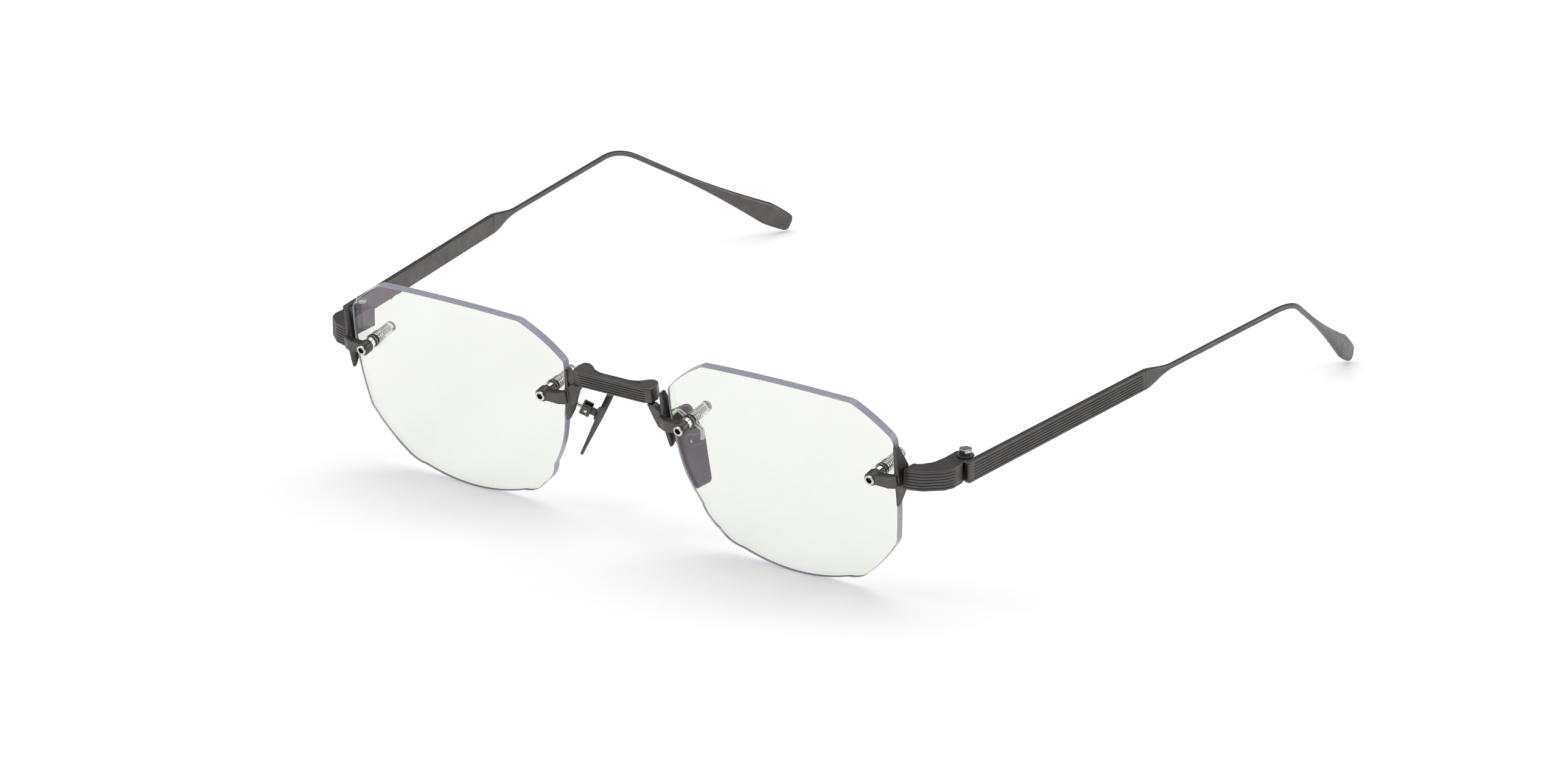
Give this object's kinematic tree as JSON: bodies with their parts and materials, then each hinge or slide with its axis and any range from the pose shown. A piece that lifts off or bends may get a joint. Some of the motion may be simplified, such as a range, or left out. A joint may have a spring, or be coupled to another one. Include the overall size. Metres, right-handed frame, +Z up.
{
  "type": "rimless eyeglasses",
  "caption": "Rimless eyeglasses with faceted clear lenses on screw mounts, a solid bridge, rocking nose pads and folding wire temples that widen into flat tips.",
  "frame": {"origin": "on the ground under the middle of the glasses, where they stand on the lens bottoms and the temple tips", "axes": "+X towards the wearer's left, +Y back along the temples, +Z up"},
  "size_m": [0.1532, 0.1541, 0.0389],
  "materials": {
    "gunmetal": "satin dark grey coating on metal",
    "bright_steel": "bright polished",
    "lens_clear": "clear, coated, edges polished",
    "clear_plastic": "clear glossy",
    "black": "matte black"
  },
  "bodies": {
    "front": {"bridge": "gunmetal", "endpiece_left": "gunmetal", "endpiece_right": "gunmetal", "hinge_collar_left": "black", "hinge_collar_right": "black", "hinge_plug_left": "bright_steel", "hinge_plug_right": "bright_steel", "hinge_screw_left": "bright_steel", "hinge_screw_right": "bright_steel", "lens_left": "lens_clear", "lens_right": "lens_clear", "nasal_bracket_left": "gunmetal", "nasal_bracket_right": "gunmetal", "nasal_cap_left": "clear_plastic", "nasal_cap_right": "clear_plastic", "nasal_nut_left": "bright_steel", "nasal_nut_right": "bright_steel", "nasal_screw_left": "bright_steel", "nasal_screw_right": "bright_steel", "nasal_sleeve_left": "clear_plastic", "nasal_sleeve_right": "clear_plastic", "nasal_washer_left": "black", "nasal_washer_right": "black", "pad_arm_left": "bright_steel", "pad_arm_right": "bright_steel", "pad_box_left": "gunmetal", "pad_box_right": "gunmetal", "temporal_bracket_left": "gunmetal", "temporal_bracket_right": "gunmetal", "temporal_cap_left": "clear_plastic", "temporal_cap_right": "clear_plastic", "temporal_nut_left": "bright_steel", "temporal_nut_right": "bright_steel", "temporal_screw_left": "bright_steel", "temporal_screw_right": "bright_steel", "temporal_sleeve_left": "clear_plastic", "temporal_sleeve_right": "clear_plastic", "temporal_washer_left": "black", "temporal_washer_right": "black"},
    "temple_arm_left": {"temple_left": "gunmetal"},
    "temple_arm_right": {"temple_right": "gunmetal"},
    "pad_left": {"nose_pad_left": "gunmetal", "pad_pin_left": "bright_steel"},
    "pad_right": {"nose_pad_right": "gunmetal", "pad_pin_right": "bright_steel"}
  },
  "joints": [
    {"name": "temple_fold_left", "type": "hinge", "parent": "front", "child": "temple_arm_left", "pos_m": [0.066, -0.062, 0.0251], "axis": [0, 0, 1], "range_deg": [0, 90]},
    {"name": "temple_fold_right", "type": "hinge", "parent": "front", "child": "temple_arm_right", "pos_m": [-0.066, -0.062, 0.0251], "axis": [0, 0, -1], "range_deg": [0, 76]},
    {"name": "pad_rock_left", "type": "hinge", "parent": "front", "child": "pad_left", "pos_m": [0.0124, -0.06565, 0.0195], "axis": [-0.3839, -0.9169, -0.109], "range_deg": [-10, 10]},
    {"name": "pad_rock_right", "type": "hinge", "parent": "front", "child": "pad_right", "pos_m": [-0.0124, -0.06565, 0.0195], "axis": [-0.3839, 0.9169, 0.109], "range_deg": [-10, 10]}
  ]
}
